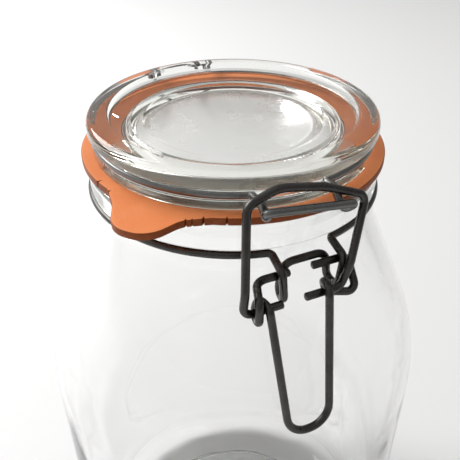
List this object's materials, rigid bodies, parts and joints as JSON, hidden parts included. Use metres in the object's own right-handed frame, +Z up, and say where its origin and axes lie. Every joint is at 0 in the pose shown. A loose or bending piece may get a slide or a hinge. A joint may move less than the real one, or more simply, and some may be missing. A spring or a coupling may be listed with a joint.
{
  "type": "lidded glass canister",
  "caption": "Clip-top glass storage jar: round glass body and hinged glass lid sealed on a rubber ring with a pull tab by a bent-wire over-centre clasp.",
  "frame": {"origin": "centre of the face the jar stands on", "axes": "+Z up along the jar's axis, -Y towards the clasp, +Y towards the hinge"},
  "size_m": [0.1584, 0.159, 0.275],
  "materials": {
    "jar_glass": "clear, polished, faintly wavy",
    "lid_glass": "clear pressed glass, faint olive tint in the thick rim",
    "ring_rubber": "matt orange natural rubber",
    "steel_wire": "dark, dull, with soft highlights"
  },
  "bodies": {
    "jar": {"glass_jar": "jar_glass", "neck_wire": "steel_wire"},
    "lid": {"glass_lid": "lid_glass", "lid_wire": "steel_wire", "rubber_ring": "ring_rubber"},
    "lever": {"lever": "steel_wire"},
    "loop": {"clasp_loop": "steel_wire"}
  },
  "joints": [
    {"name": "lid_hinge", "type": "hinge", "parent": "jar", "child": "lid", "pos_m": [0, 0.0605, 0.2608], "axis": [-1, 0, 0], "range_deg": [0, 110]},
    {"name": "lever_pivot", "type": "hinge", "parent": "jar", "child": "lever", "pos_m": [0, -0.0575, 0.2425], "axis": [-1, 0, 0], "range_deg": [0, 105]},
    {"name": "loop_pivot", "type": "hinge", "parent": "lever", "child": "loop", "pos_m": [0, -0.064, 0.2365], "axis": [-1, 0, 0], "range_deg": [-142, 0]}
  ],
  "couplings": [
    {"joint": "loop_pivot", "follows": "lever_pivot", "ratio": -1.35}
  ]
}
